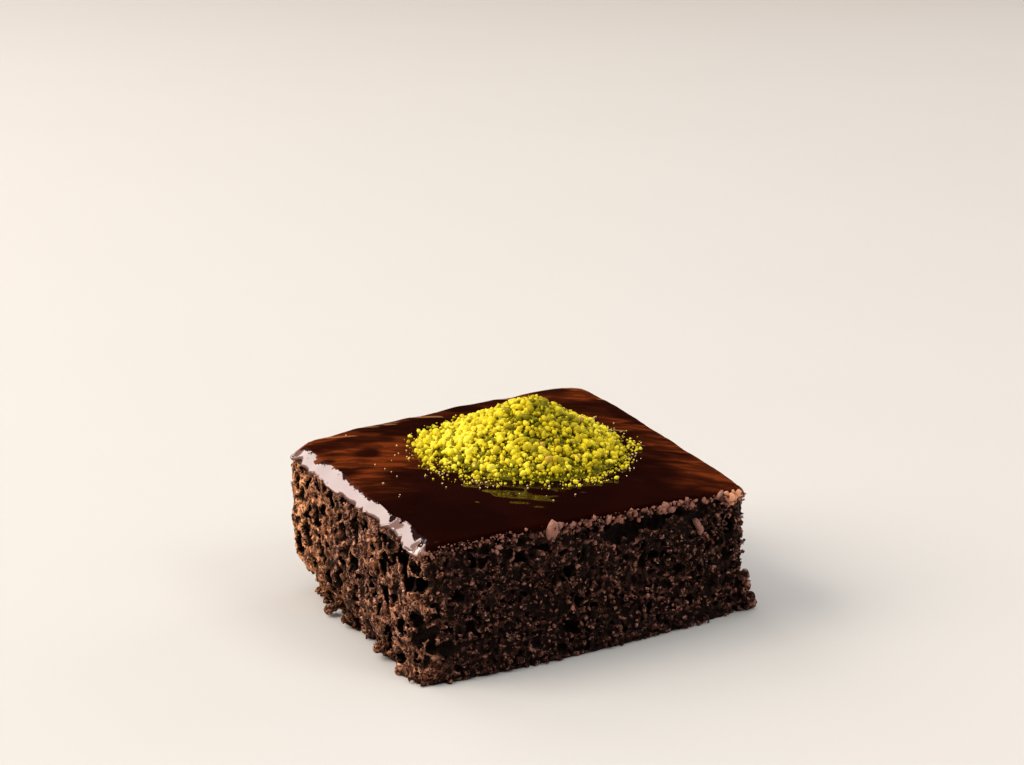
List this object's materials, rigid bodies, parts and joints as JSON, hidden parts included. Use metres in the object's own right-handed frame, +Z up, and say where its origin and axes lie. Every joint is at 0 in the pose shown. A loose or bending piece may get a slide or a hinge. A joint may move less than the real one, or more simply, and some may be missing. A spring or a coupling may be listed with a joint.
{
  "type": "wet chocolate cake",
  "caption": "Square of moist chocolate sponge cut from a tray, with glossy chocolate sauce set over its top and a low heap of ground pistachio on the sauce.",
  "frame": {"origin": "middle of the bounding box of the footprint, on the surface that the cake stands on", "axes": "+Z up, +X to the right along the longest cut side, which faces -Y"},
  "size_m": [0.0978, 0.0837, 0.0523],
  "materials": {
    "crumb": "matte, open and moist",
    "sauce": "gloss",
    "pistachio": "matte"
  },
  "bodies": {
    "root": {"sponge": "crumb", "chocolate_sauce": "sauce", "pistachio_heap": "pistachio"}
  },
  "joints": []
}
